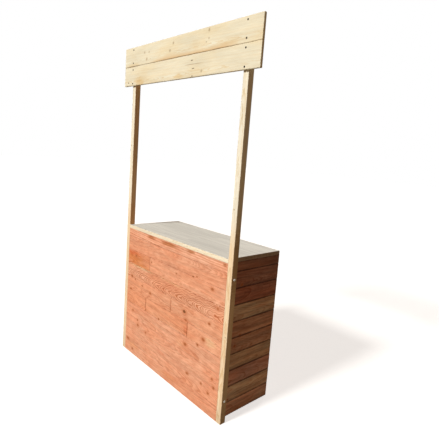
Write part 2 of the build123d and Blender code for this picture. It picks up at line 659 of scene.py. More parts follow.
@dataclass(frozen=True)
class CladdingFinish(WoodFinish):
    """Cladding boards, each length with the tint that its mesh carries, in paler and deeper clouds."""

    clouds: Texture = Texture((3.2, 3.2, 6.5))
    cloud_edge: Span = (0.36, 0.64)
    paler: Colour = (1.0, 1.055, 1.085)
    deeper: Colour = (1.0, 0.945, 0.905)
    mottle: Texture = Texture((16.0, 16.0, 48.0), 3.0, 0.6)
    mottle_edge: Span = (0.34, 0.66)
    lighter: Colour = (1.03, 1.07, 1.08)
    darker: Colour = (0.92, 0.86, 0.83)
    joints: tuple[Joint, ...] = ()
    joint_stain: Colour = (0.76, 0.61, 0.50)
    joint_reach: float = 0.009
    damp: Texture = Texture((40.0, 40.0, 40.0))
    damp_edge: Span = (0.3, 0.7)
    damp_shares: Span = (0.6, 1.3)
    stained_below: Span = (0.78, 0.62)
    stain_span: Span = (0.25, 0.95)

    def stain_joints(self, kit: NodeKit, colour: Socket, place: Socket) -> Socket:
        """Darkens the board ends beside each end joint, where damp gets in, most of all low down.

        Args:
            kit: The material's nodes.
            colour: The wood's colour so far.
            place: Coordinates on the stall.

        Returns:
            The stained colour.
        """
        if not self.joints:
            return colour
        across, _, up = kit.split(place)
        reach = kit.step(kit.noise(place, self.damp), self.damp_edge, self.damp_shares)
        reach = kit.math("MULTIPLY", reach, self.joint_reach)
        strength = kit.step(up, self.stained_below, self.stain_span)
        stained = kit.times(colour, self.joint_stain)
        for joint in self.joints:
            away = kit.math("ABSOLUTE", kit.math("SUBTRACT", across, joint.along))
            course = kit.math("COMPARE", up, (joint.low + joint.high) / 2, (joint.high - joint.low) / 2)
            beside = kit.math("MULTIPLY", kit.step(away, (reach, 0.0)), course)
            colour = kit.mix(kit.math("MULTIPLY", beside, strength), colour, stained)
        return colour

    def tint(self, kit: NodeKit, colour: Socket, place: Socket) -> Socket:
        """Multiplies the wood by the tint of its own length of board, clouds it and stains its ends.

        Args:
            kit: The material's nodes.
            colour: The wood's colour so far.
            place: Coordinates on the stall.

        Returns:
            The tinted colour.
        """
        own = kit.add("ShaderNodeAttribute", attribute_name="tint").outputs["Color"]
        clouds = kit.step(kit.noise(place, self.clouds), self.cloud_edge)
        mottle = kit.step(kit.noise(place, self.mottle), self.mottle_edge)
        colour = kit.times(colour, own)
        colour = kit.times(colour, kit.mix(clouds, self.paler, self.deeper))
        colour = kit.times(colour, kit.mix(mottle, self.lighter, self.darker))
        return self.stain_joints(kit, colour, place)


@dataclass(frozen=True, kw_only=True)
class PostFinish(WoodFinish):
    """Posts, a little warmer in tone from the counter down, with painted shade that makes their sides
    browner than their fronts.
    """

    sides: Span
    side_reach: float = 0.002
    # inside and outside: painted shade on the posts' inner and outer side faces.
    inside: Colour = (0.86, 0.64, 0.47)
    outside: Colour = (0.83, 0.79, 0.73)
    warm: Colour = (0.955, 0.800, 0.660)
    warm_below: Span = (1.45, 1.12)

    def tint(self, kit: NodeKit, colour: Socket, place: Socket) -> Socket:
        """Warms the lower part of the post, and paints shade on both of its sides.

        Args:
            kit: The material's nodes.
            colour: The wood's colour so far.
            place: Coordinates on the stall.

        Returns:
            The warmed colour.
        """
        across, _, up = kit.split(place)
        away = kit.math("ABSOLUTE", across)
        inside, outside = self.sides
        # The second and third washes are painted shade on the side faces.
        washes = (
            (kit.step(up, self.warm_below), self.warm),
            (kit.step(away, (inside + self.side_reach, inside)), self.inside),
            (kit.step(away, (outside - self.side_reach, outside)), self.outside),
        )
        for share, wash in washes:
            colour = kit.mix(share, colour, kit.times(colour, wash))
        return colour


@dataclass(frozen=True, kw_only=True)
class HeaderFinish(WoodFinish):
    """Header boards, browner along the seam between them, with a dark line of painted shade for the gap at
    the seam, and a drying crack in the lower one.
    """

    seam_height: float
    seam_half: float = 0.0006
    clouds: Texture = Texture((3.0, 1.0, 9.0), 3.0, 0.6)
    cloud_edge: Span = (0.4, 0.7)
    warm: Colour = (0.985, 0.93, 0.84)
    uneven: Texture = Texture((5.0, 1.0, 16.0), 3.0, 0.6)
    seam_brown: Colour = (0.76, 0.53, 0.27)
    seam_brown_strength: float = 0.85
    seam_brown_reach: float = 0.072
    seam_brown_start: Span = (-0.42, -0.20)
    seam_brown_end: Span = (0.58, 0.43)
    line: Colour = (0.30, 0.17, 0.075)
    line_height: float = 0.006
    line_edge: Span = (0.25, 0.75)
    line_shares: Span = (0.3, 1.7)
    line_fade: Span = (0.70, 0.30)
    line_strength: Span = (0.25, 0.85)
    crack_height: float = 2.312
    crack_sway: float = 0.006
    crack_width: float = 0.0024
    crack_start: Span = (0.04, 0.09)
    crack_end: Span = (0.27, 0.19)
    crack_strength: float = 0.8

    def tint(self, kit: NodeKit, colour: Socket, place: Socket) -> Socket:
        """Browns the upper board along the seam, lays on the dark line at the seam, which is painted shade
        in the gap between the boards, and lays on the crack.

        Args:
            kit: The material's nodes.
            colour: The wood's colour so far.
            place: Coordinates on the stall.

        Returns:
            The stained colour.
        """
        across, _, up = kit.split(place)
        clouds = kit.step(kit.noise(place, self.clouds), self.cloud_edge)
        colour = kit.mix(clouds, colour, kit.times(colour, self.warm))

        uneven = kit.noise(place, self.uneven)
        above = kit.math("SUBTRACT", up, self.seam_height)
        on_upper = kit.step(above, (-self.seam_half, 0.0))
        # Browner band on the upper board just above the seam.
        reach = kit.math("MULTIPLY", uneven, self.seam_brown_reach)
        seam_brown = kit.math("MULTIPLY", kit.step(across, self.seam_brown_start), kit.step(across, self.seam_brown_end))
        seam_brown = kit.math("MULTIPLY", seam_brown, on_upper)
        seam_brown = kit.math("MULTIPLY", seam_brown, kit.step(above, (reach, 0.0), (0.0, self.seam_brown_strength)))
        colour = kit.mix(seam_brown, colour, self.seam_brown)

        # Dark line just above the seam: painted shade in the gap between the boards, strongest on the left.
        thick = kit.math("MULTIPLY", kit.step(uneven, self.line_edge, self.line_shares), self.line_height)
        line = kit.math("MULTIPLY", on_upper, kit.step(across, self.line_fade, self.line_strength))
        line = kit.math("MULTIPLY", line, kit.step(above, (thick, 0.0)))
        colour = kit.mix(line, colour, self.line)

        sway = kit.math("MULTIPLY_ADD", uneven, 2.0 * self.crack_sway, self.crack_height - self.crack_sway)
        away = kit.math("ABSOLUTE", kit.math("SUBTRACT", up, sway))
        crack = kit.math("MULTIPLY", kit.step(across, self.crack_start), kit.step(across, self.crack_end))
        near = kit.step(away, (self.crack_width, 0.0), (0.0, self.crack_strength))
        return kit.mix(kit.math("MULTIPLY", crack, near), colour, self.line)


@dataclass(frozen=True)
class PanelFinish(WoodFinish):
    """Counter panel of glued staves, weathered to a pale grey beige."""

    stave_width: float = 0.045
    stave_length: float = 0.42
    stave_stagger: float = 0.37
    stave_contrast: float = 0.10

    def tint(self, kit: NodeKit, colour: Socket, place: Socket) -> Socket:
        """Gives each glued stave its own shade.

        Args:
            kit: The material's nodes.
            colour: The wood's colour so far.
            place: Coordinates on the stall.

        Returns:
            The shaded colour.
        """
        across, deep, _ = kit.split(place)
        stave = kit.math("FLOOR", kit.math("DIVIDE", deep, self.stave_width))
        lengths = kit.math("DIVIDE", across, self.stave_length)
        number = kit.math("FLOOR", kit.math("MULTIPLY_ADD", stave, self.stave_stagger, lengths))
        own = kit.add("ShaderNodeTexWhiteNoise", {"Vector": kit.join(stave, number, 0.0)}).outputs["Value"]
        shade = kit.math("MULTIPLY_ADD", own, self.stave_contrast, 1.0 - self.stave_contrast / 2)
        return kit.times(colour, kit.join(shade, shade, shade))


@dataclass(frozen=True)
class SteelFinish:
    """Dull steel of screw heads, with darker patches."""

    name: str
    bright: Colour
    dull: Colour
    metallic: float = 0.8
    roughness: float = 0.42
    specular: float = 0.5
    patches: Texture = Texture((260.0, 260.0, 260.0), 3.0, 0.6)
    patch_edge: Span = (0.35, 0.7)
    rough_edge: Span = (0.3, 0.7)
    rough_spread: Span = (-0.1, 0.15)

    def build(self) -> bpy.types.Material:
        """Builds the material.

        Returns:
            The finished material.
        """
        material, kit = new_material(self.name)
        place = kit.add("ShaderNodeTexCoord").outputs["Object"]
        patches = kit.noise(place, self.patches)
        colour = kit.mix(kit.step(patches, self.patch_edge), self.bright, self.dull)
        spread = tuple(self.roughness + change for change in self.rough_spread)
        rough = kit.step(patches, self.rough_edge, spread)
        shader = kit.add("ShaderNodeBsdfPrincipled", {"Base Color": colour, "Roughness": rough})
        shader.inputs["Metallic"].default_value = self.metallic
        shader.inputs["Specular IOR Level"].default_value = self.specular
        kit.add("ShaderNodeOutputMaterial", {"Surface": shader.outputs[0]})
        return material


def named_attribute(kit: NodeKit, name: str, kind: str) -> Socket:
    """Reads an attribute of the geometry by its name."""
    return kit.add("GeometryNodeInputNamedAttribute", {"Name": name}, data_type=kind).outputs["Attribute"]


def board_tree() -> bpy.types.NodeTree:
    """Builds the tree that lays one length of board on each seed point of a wall.

    Returns:
        A geometry group. Its points carry the attributes length, log and tint.
    """
    inputs = {
        "Seeds": "NodeSocketGeometry", "Board": "NodeSocketObject", "Turn": "NodeSocketFloat",
        "Corner": "NodeSocketVector", "Bow": "NodeSocketFloat", "Bows": "NodeSocketFloat",
        "Proud": "NodeSocketFloat", "Seed": "NodeSocketInt", "Material": "NodeSocketMaterial",
    }
    tree = new_group("lengths of board", "GeometryNodeTree", inputs, {"Boards": "NodeSocketGeometry"})
    kit = NodeKit(tree)
    given = kit.add("NodeGroupInput").outputs
    board = kit.add("GeometryNodeObjectInfo", {"Object": given["Board"]}).outputs["Geometry"]
    length = named_attribute(kit, "length", "FLOAT")
    laid = {"Points": given["Seeds"], "Instance": board, "Scale": kit.join(length, 1.0, 1.0)}
    boards = kit.add("GeometryNodeInstanceOnPoints", laid).outputs["Instances"]
    boards = kit.add("GeometryNodeRealizeInstances", {"Geometry": boards}).outputs["Geometry"]

    place = kit.add("GeometryNodeInputPosition").outputs["Position"]
    log = named_attribute(kit, "log", "FLOAT_VECTOR")
    stored = {"Geometry": boards, "Name": "grain", "Value": kit.vector("ADD", place, log)}
    store = kit.add("GeometryNodeStoreNamedAttribute", stored, data_type="FLOAT_VECTOR", domain="POINT")
    boards = store.outputs["Geometry"]

    own = kit.vector("ADD", log, kit.join(given["Seed"], 0.0, 0.0))
    step_out = kit.add("ShaderNodeTexWhiteNoise", {"Vector": own}).outputs["Value"]
    step_out = kit.math("MULTIPLY", kit.math("SUBTRACT", step_out, 0.5), given["Proud"])
    along = kit.math("MULTIPLY", kit.split(place)[0], given["Bows"])
    along = kit.join(along, kit.split(own)[0], 0.0)
    wave = kit.add("ShaderNodeTexNoise", {"Vector": along, "Scale": 1.0, "Detail": 1.0}).outputs[0]
    wave = kit.math("MULTIPLY", kit.math("SUBTRACT", wave, 0.5), given["Bow"])
    moved = {"Geometry": boards, "Offset": kit.join(0.0, step_out, wave)}
    boards = kit.add("GeometryNodeSetPosition", moved).outputs["Geometry"]

    turned = {"Translation": given["Corner"], "Rotation": kit.join(0.0, 0.0, given["Turn"])}
    boards = kit.add("GeometryNodeTransform", {"Geometry": boards} | turned).outputs["Geometry"]
    dressed = {"Geometry": boards, "Material": given["Material"]}
    boards = kit.add("GeometryNodeSetMaterial", dressed).outputs["Geometry"]
    kit.add("NodeGroupOutput", {"Boards": boards})
    return tree


def screw_tree() -> bpy.types.NodeTree:
    """Builds the tree that sets a screw head on each seed point, turned at random about its axis.

    Returns:
        A geometry group.
    """
    inputs = {
        "Seeds": "NodeSocketGeometry", "Head": "NodeSocketObject", "Facing": "NodeSocketVector",
        "Seed": "NodeSocketInt", "Material": "NodeSocketMaterial",
    }
    tree = new_group("screw heads", "GeometryNodeTree", inputs, {"Heads": "NodeSocketGeometry"})
    kit = NodeKit(tree)
    given = kit.add("NodeGroupInput").outputs
    head = kit.add("GeometryNodeObjectInfo", {"Object": given["Head"]}).outputs["Geometry"]
    facing = {"Vector": given["Facing"]}
    aim = kit.add("FunctionNodeAlignRotationToVector", facing, axis="Z").outputs["Rotation"]
    any_turn = {3: math.tau, "Seed": given["Seed"]}
    spin = kit.add("FunctionNodeRandomValue", any_turn, data_type="FLOAT").outputs[1]
    turn = {"Rotation": aim, "Rotate By": kit.join(0.0, 0.0, spin)}
    aim = kit.add("FunctionNodeRotateRotation", turn, rotation_space="LOCAL").outputs["Rotation"]
    laid = {"Points": given["Seeds"], "Instance": head, "Rotation": aim}
    heads = kit.add("GeometryNodeInstanceOnPoints", laid).outputs["Instances"]
    heads = kit.add("GeometryNodeRealizeInstances", {"Geometry": heads}).outputs["Geometry"]
    dressed = {"Geometry": heads, "Material": given["Material"]}
    heads = kit.add("GeometryNodeSetMaterial", dressed).outputs["Geometry"]
    kit.add("NodeGroupOutput", {"Heads": heads})
    return tree


def grow(
    name: str, seeds: bpy.types.Mesh, tree: bpy.types.NodeTree, inputs: dict[str, object]
) -> bpy.types.Mesh:
    """Runs a geometry group on seed points.

    Args:
        name: The name of the result.
        seeds: A mesh of loose points.
        tree: The geometry group.
        inputs: Values for its inputs, by name.

    Returns:
        The result as a plain mesh.
    """
    carrier = bpy.data.objects.new(f"{name}_seeds", seeds)
    bpy.context.scene.collection.objects.link(carrier)
    modifier = carrier.modifiers.new("grow", "NODES")
    modifier.node_group = tree
    sockets = {item.name: item.identifier for item in tree.interface.items_tree if item.in_out == "INPUT"}
    for label, value in inputs.items():
        modifier[sockets[label]] = value
    graph = bpy.context.evaluated_depsgraph_get()
    grown = carrier.evaluated_get(graph)
    mesh = bpy.data.meshes.new_from_object(grown, preserve_all_data_layers=True, depsgraph=graph)
    mesh.name = name
    carrier.modifiers.remove(modifier)
    bpy.data.objects.remove(carrier)
    return mesh


def hidden_object(name: str, mesh: bpy.types.Mesh) -> bpy.types.Object:
    """Makes an object that only lends its mesh to a geometry group.

    Args:
        name: Its name.
        mesh: The mesh that it lends.

    Returns:
        The object, to be removed once the group has run.
    """
    lender = bpy.data.objects.new(name, mesh)
    bpy.context.scene.collection.objects.link(lender)
    return lender


def soften(mesh: bpy.types.Mesh, sharp_from: float = 40.0) -> None:
    """Shades a mesh smooth, but for edges that turn by more than an angle in degrees."""
    mesh.polygons.foreach_set("use_smooth", [True] * len(mesh.polygons))
    mesh.set_sharp_from_angle(angle=math.radians(sharp_from))


def add_piece(name: str, mesh: bpy.types.Mesh, nodes: Sequence[str] = ()) -> bpy.types.Object:
    """Puts a finished mesh into the scene.

    Args:
        name: The piece's name.
        mesh: Its mesh, in the stall's frame.
        nodes: The CAD nodes that it stands for.

    Returns:
        The piece's object.
    """
    piece = bpy.data.objects.new(name, mesh)
    bpy.context.scene.collection.objects.link(piece)
    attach(piece, BODY)
    if nodes:
        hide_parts(*nodes)
    LOG.info("%s: %d faces", name, len(mesh.polygons))
    return piece


def store(mesh: bpy.types.Mesh, name: str, kind: str, values: Iterable[float]) -> None:
    """Stores a value or a vector for each point of a mesh under a name."""
    layer = mesh.attributes.new(name, kind, "POINT")
    layer.data.foreach_set("value" if kind == "FLOAT" else "vector", list(values))


def seed_points(name: str, places: Sequence[Point]) -> bpy.types.Mesh:
    """Makes a mesh of loose points for a geometry group to fill.

    Args:
        name: The name of the piece that grows from it.
        places: The points.

    Returns:
        The mesh.
    """
    mesh = bpy.data.meshes.new(f"{name}_points")
    mesh.from_pydata(places, [], [])
    return mesh


@dataclass(frozen=True)
class SectionPoint:
    """A corner of a section: its depth behind the face, its height, and how much of an edge it is."""

    deep: float
    up: float
    edge: float = 0.0


def sweep(name: str, rings: Sequence[Sequence[Point]], edges: Sequence[float]) -> bpy.types.Mesh:
    """Skins a row of like rings and closes both ends.

    Args:
        name: The mesh's name.
        rings: Rings of points, each in the same order.
        edges: The edge value of each point in a ring.

    Returns:
        A closed mesh with the attribute edge.
    """
    count = len(rings[0])
    points = [point for ring in rings for point in ring]
    faces = [tuple(range(count)), tuple(range(len(points) - count, len(points)))]
    for ring in range(len(rings) - 1):
        start = ring * count
        for corner in range(count):
            beside = (corner + 1) % count
            faces.append((start + corner, start + beside, start + count + beside, start + count + corner))
    mesh = bpy.data.meshes.new(name)
    mesh.from_pydata(points, [], faces)
    shape = bmesh.new()
    shape.from_mesh(mesh)
    bmesh.ops.recalc_face_normals(shape, faces=shape.faces)
    shape.to_mesh(mesh)
    shape.free()
    store(mesh, "edge", "FLOAT", list(edges) * len(rings))
    return mesh


@dataclass
class BoardSection:
    """Section of a tongue and groove board, in metres."""

    thickness: float = 0.019
    joint: float = 0.001
    chamfer: float = 0.0025
    tongue_length: float = 0.007
    tongue_thickness: float = 0.006
    play: float = 0.0003
    margin: float = 0.006
    arris: float = 0.0006
    spans: int = 24

    def outline(self, height: float, has_groove: bool, has_tongue: bool) -> list[SectionPoint]:
        """Draws the section from its lower face edge, up the face, over the tongue and down the back.

        Args:
            height: The course's height, from joint to joint.
            has_groove: Whether the lower edge has its groove.
            has_tongue: Whether the upper edge has its tongue.

        Returns:
            The corners of the section.
        """
        half = self.joint / 2
        low = half if has_groove else 0.0
        high = height - half if has_tongue else height
        cut_low = self.chamfer if has_groove else self.arris
        cut_high = self.chamfer if has_tongue else self.arris
        middle = self.thickness / 2
        # Corners with edge 1.0 take the seam darkening: dirt and painted shade on the chamfers, and painted
        # shade on the tongue and in the groove.
        points = [
            SectionPoint(cut_low, low, 1.0),
            SectionPoint(0.0, low + cut_low, 1.0),
            SectionPoint(0.0, low + cut_low + self.margin),
            SectionPoint(0.0, high - cut_high - self.margin),
            SectionPoint(0.0, high - cut_high, 1.0),
            SectionPoint(cut_high, high, 1.0),
        ]
        if has_tongue:
            near, far = middle - self.tongue_thickness / 2, middle + self.tongue_thickness / 2
            tip = high + self.tongue_length
            tongue = ((near, high), (near, tip), (far, tip), (far, high))
            points += [SectionPoint(deep, up, 1.0) for deep, up in tongue]
        points += [
            SectionPoint(self.thickness - self.arris, high, 1.0),
            SectionPoint(self.thickness, high - self.arris, 1.0),
            SectionPoint(self.thickness, high - self.margin),
            SectionPoint(self.thickness, low + self.margin),
            SectionPoint(self.thickness, low + self.arris, 1.0),
            SectionPoint(self.thickness - self.arris, low, 1.0),
        ]
        if has_groove:
            wide = self.tongue_thickness / 2 + self.play
            end = low + self.tongue_length
            groove = ((middle + wide, low), (middle + wide, end), (middle - wide, end), (middle - wide, low))
            points += [SectionPoint(deep, up, 1.0) for deep, up in groove]
        return points

    def unit_board(self, name: str, height: float, has_groove: bool, has_tongue: bool) -> bpy.types.Mesh:
        """Builds a board one metre long, for the geometry group to stretch."""
        return self.unit_length(name, self.outline(height, has_groove, has_tongue))

    def unit_end_tongue(self, name: str, height: float) -> bpy.types.Mesh:
        """Builds the tongue on a board's end, one metre long, for the geometry group to shorten.

        Args:
            name: The mesh's name.
            height: The course's height.

        Returns:
            The tongue's mesh.
        """
        near = (self.thickness - self.tongue_thickness) / 2
        far = near + self.tongue_thickness
        low = self.tongue_length + self.joint
        # Every corner is an edge, so the whole end tongue is darkened: painted shade inside the end joint.
        corners = ((near, low), (near, height), (far, height), (far, low))
        return self.unit_length(name, [SectionPoint(deep, up, 1.0) for deep, up in corners])

    def unit_length(self, name: str, outline: list[SectionPoint]) -> bpy.types.Mesh:
        """Sweeps a section along one metre.

        Args:
            name: The mesh's name.
            outline: The corners of the section.

        Returns:
            The swept mesh.
        """
        places = [span / self.spans for span in range(self.spans + 1)]
        rings = [[(along, corner.deep, corner.up) for corner in outline] for along in places]
        return sweep(name, rings, [corner.edge for corner in outline])


@dataclass
class BoardSeeds:
    """Seed points for lengths of board, with what the geometry group reads at each of them."""

    places: list[Point] = field(default_factory=list)
    lengths: list[float] = field(default_factory=list)
    logs: list[float] = field(default_factory=list)
    tints: list[float] = field(default_factory=list)
    rings: list[float] = field(default_factory=list)

    def add(self, place: Point, length: float, middle: float, log: Log, tone: Tone) -> None:
        """Adds a length of board.

        Args:
            place: Where it starts on the wall.
            length: How long it is.
            middle: The height of its middle.
            log: Where in the trunk it was sawn.
            tone: Its tint.
        """
        self.places.append(place)
        self.lengths.append(length)
        self.logs += (log.along, log.depth, log.across - middle)
        self.tints += tone.value
        self.rings += (log.ring_width, log.taper, log.bold)

    def mesh(self, name: str) -> bpy.types.Mesh:
        """Makes the seed points' mesh.

        Args:
            name: The name of the piece that grows from it.

        Returns:
            Loose points with the attributes length, log, tint and rings.
        """
        points = seed_points(name, self.places)
        store(points, "length", "FLOAT", self.lengths)
        store(points, "log", "FLOAT_VECTOR", self.logs)
        store(points, "tint", "FLOAT_VECTOR", self.tints)
        store(points, "rings", "FLOAT_VECTOR", self.rings)
        return points


@dataclass(frozen=True)
class Courses:
    """The CAD courses of one boarded side: which way they run, and how far that side is turned."""

    side: Side
    grain: Axis
    turn: float = 0.0
    face_depth: float = 0.0001
    digits: int = 4

    def nodes(self) -> list[str]:
        """The CAD nodes of this side, from the ground up."""
        return sorted(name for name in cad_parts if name.startswith(f"{self.side.value}_board_"))

    def lengths(self, node: str) -> list[Span]:
        """Reads where each length of board in a course starts and ends.

        Args:
            node: The course's CAD node.

        Returns:
            Spans along the wall, measured from the wall's starting corner.
        """
        along = self.grain.value
        across = Axis.DEEP.value if self.grain is Axis.ACROSS else Axis.ACROSS.value
        low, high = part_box(node)
        face = high[across] if self.turn > 0.0 else low[across]
        corners = [vertex.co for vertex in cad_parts[node].data.vertices]
        on_face = [co[along] for co in corners if abs(co[across] - face) < self.face_depth]
        places = sorted({round(place, self.digits) for place in on_face})
        if self.turn < 0.0:
            places = [places[-1] - place for place in reversed(places)]
        else:
            places = [place - places[0] for place in places]
        return list(zip(places[::2], places[1::2]))

    def corner(self) -> Vector:
        """Finds where the wall's own coordinates start.

        Returns:
            A place on the ground.
        """
        low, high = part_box(self.nodes()[0])
        if self.grain is Axis.ACROSS:
            return Vector((low.x, low.y, 0.0))
        return Vector((high.x, low.y, 0.0)) if self.turn > 0.0 else Vector((low.x, high.y, 0.0))

    def joints(self) -> tuple[Joint, ...]:
        """Finds where the lengths of a course meet, on a side that isn't turned.

        Returns:
            The end joints, from the ground up.
        """
        joints = []
        nodes = self.nodes()
        for node, above in zip(nodes, nodes[1:]):
            spans = self.lengths(node)
            for (_, end), (start, _) in zip(spans, spans[1:]):
                along = self.corner().x + (start + end) / 2
                joints.append(Joint(along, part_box(node)[0].z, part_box(above)[0].z))
        return tuple(joints)


@dataclass
class Wall:
    """One boarded side of the stall, built from the CAD courses of that side."""

    courses: Courses
    section: BoardSection
    finish: bpy.types.Material
    tones: dict[tuple[int, int], Tone]
    default_tones: tuple[Tone, ...]
    logs: dict[tuple[int, int], Log] = field(default_factory=dict)
    bow: float = 0.0012
    bows_per_metre: float = 1.6
    proud: float = 0.0009
    seed: int = 1
    seeds_apart: int = 100

    def build(self, tree: bpy.types.NodeTree) -> None:
        """Builds the wall's bottom board, its full boards and its top board.

        Args:
            tree: The group that lays lengths of board.
        """
        nodes = self.courses.nodes()
        side = self.courses.side.value
        self.run(tree, f"{side}_bottom_board", nodes, range(1))
        self.run(tree, f"{side}_boards", nodes, range(1, len(nodes) - 1))
        self.run(tree, f"{side}_top_board", nodes, range(len(nodes) - 1, len(nodes)))

    def run(self, tree: bpy.types.NodeTree, name: str, nodes: list[str], courses: range) -> None:
        """Builds the courses that share one section.

        Args:
            tree: The group that lays lengths of board.
            name: The piece's name.
            nodes: All courses of the wall.
            courses: Which of them are built.
        """
        has_groove = courses.start > 0
        has_tongue = courses.stop < len(nodes)
        half = self.section.joint / 2
        tongue = self.section.tongue_length - half if has_tongue else 0.0
        low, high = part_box(nodes[courses.start])
        height = high.z - tongue - low.z + (half if has_groove else 0.0)
        draw = random.Random(self.seed * self.seeds_apart + courses.start)
        boards, tongues = BoardSeeds(), BoardSeeds()
        for course in courses:
            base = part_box(nodes[course])[0].z - (half if has_groove else 0.0)
            middle = base + height / 2
            lengths = self.courses.lengths(nodes[course])
            for number, (start, end) in enumerate(lengths):
                key = (course + 1, number)
                log = self.logs.get(key, LARCH.sawn(draw))
                tone = self.tones.get(key, draw.choice(self.default_tones))
                boards.add((start, 0.0, base), end - start, middle, log, tone)
                if number < len(lengths) - 1:
                    tongues.add((end, 0.0, base), self.section.tongue_length, middle, log, tone)
        unit = self.section.unit_board(f"{name}_unit", height, has_groove, has_tongue)
        self.lay(tree, name, unit, boards, [nodes[course] for course in courses])
        if tongues.places:
            name = f"{self.courses.side.value}_end_tongues"
            self.lay(tree, name, self.section.unit_end_tongue(f"{name}_unit", height), tongues)

    def lay(
        self, tree: bpy.types.NodeTree, name: str, unit: bpy.types.Mesh, seeds: BoardSeeds,
        nodes: Sequence[str] = (),
    ) -> None:
        """Lays one section on its seed points.

        Args:
            tree: The group that lays lengths of board.
            name: The piece's name.
            unit: One metre of the section.
            seeds: Where the lengths start, and what each of them is.
            nodes: The CAD nodes that the piece stands for.
        """
        lender = hidden_object(f"{name}_unit", unit)
        inputs = {
            "Board": lender, "Turn": self.courses.turn, "Corner": self.courses.corner(), "Bow": self.bow,
            "Bows": self.bows_per_metre, "Proud": self.proud, "Seed": self.seed, "Material": self.finish,
        }
        mesh = grow(name, seeds.mesh(name), tree, inputs)
        bpy.data.objects.remove(lender)
        soften(mesh)
        add_piece(name, mesh, nodes)


@dataclass
class Timber:
    """A planed timber in the box of its CAD node, with rounded edges along the grain."""

    node: str
    grain: Axis
    finish: bpy.types.Material
    slot: Slot
    log: Log
    round_edge: float = 0.0022
    end_cut: float = 0.0008
    margin: float = 0.006
    arc_steps: int = 3
    spans: int = 12

    def ring(self, wide: float, deep: float, inset: float) -> list[Point]:
        """Draws a rounded rectangle about its middle.

        Args:
            wide: Its full width.
            deep: Its full depth.
            inset: How far it is drawn in on all sides.

        Returns:
            Corners as two coordinates and an edge value.
        """
        radius = max(self.round_edge - inset, self.end_cut)
        corners = []
        for quarter, (side_x, side_y) in enumerate(((1, 1), (-1, 1), (-1, -1), (1, -1))):
            centre_x = side_x * (wide / 2 - inset - radius)
            centre_y = side_y * (deep / 2 - inset - radius)
            arc = []
            for turn in range(self.arc_steps + 1):
                angle = math.pi / 2 * (quarter + turn / self.arc_steps)
                arc.append((centre_x + radius * math.cos(angle), centre_y + radius * math.sin(angle), 1.0))
            along, beyond = (0, self.margin), (self.margin, 0)
            if quarter % 2:
                along, beyond = beyond, along
            first, last = arc[0], arc[-1]
            corners.append((first[0] - side_x * along[0], first[1] - side_y * along[1], 0.0))
            corners += arc
            corners.append((last[0] - side_x * beyond[0], last[1] - side_y * beyond[1], 0.0))
        return corners

    def build(self) -> bpy.types.Object:
        """Builds the timber.

        Returns:
            The finished piece.
        """
        low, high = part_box(self.node)
        axis = self.grain.value
        side_a, side_b = [other for other in (0, 1, 2) if other != axis]
        wide, deep = high[side_a] - low[side_a], high[side_b] - low[side_b]
        start, end = low[axis], high[axis]
        first, clear = start + self.end_cut, end - start - 2 * self.end_cut
        inner = [(first + clear * span / self.spans, 0.0) for span in range(self.spans + 1)]
        stations = [(start, self.end_cut)] + inner + [(end, self.end_cut)]
        rings = []
        for place, inset in stations:
            points = []
            for across, depth, _ in self.ring(wide, deep, inset):
                point = [0.0, 0.0, 0.0]
                point[axis] = place
                point[side_a] = (low[side_a] + high[side_a]) / 2 + across
                point[side_b] = (low[side_b] + high[side_b]) / 2 + depth
                points.append(tuple(point))
            rings.append(points)
        mesh = sweep(self.node, rings, [corner[2] for corner in self.ring(wide, deep, 0.0)])
        middle = (low + high) / 2
        sawn = ((axis, self.log.along), (side_b, self.log.depth), (side_a, self.log.across))
        grain: list[float] = []
        for vertex in mesh.vertices:
            away = vertex.co - middle
            grain += (away[side] + place for side, place in sawn)
        store(mesh, "grain", "FLOAT_VECTOR", grain)
        rings_here = (self.log.ring_width, self.log.taper, self.log.bold)
        store(mesh, "rings", "FLOAT_VECTOR", rings_here * len(mesh.vertices))
        mesh.materials.append(self.finish)
        soften(mesh)
        return add_piece(f"{self.node}_planed", mesh, [self.node])


@dataclass
class CounterPanel:
    """The counter panel: a weathered top, a pale front edge and dark end grain, darkened further by painted
    shade.
    """

    top: bpy.types.Material
    edge: bpy.types.Material
    ends: bpy.types.Material
    log: Log
    spans: int = 24
    facing: float = 0.7

    def build(self) -> None:
        """Builds the panel and gives its front edge and its ends their own finish."""
        timber = Timber("counter_panel", Axis.ACROSS, self.top, Slot.PANEL, self.log, spans=self.spans)
        panel = timber.build()
        panel.data.materials.append(self.edge)
        panel.data.materials.append(self.ends)
        for face in panel.data.polygons:
            if face.normal.y < -self.facing:
                face.material_index = 1
            elif abs(face.normal.x) > self.facing:
                face.material_index = 2


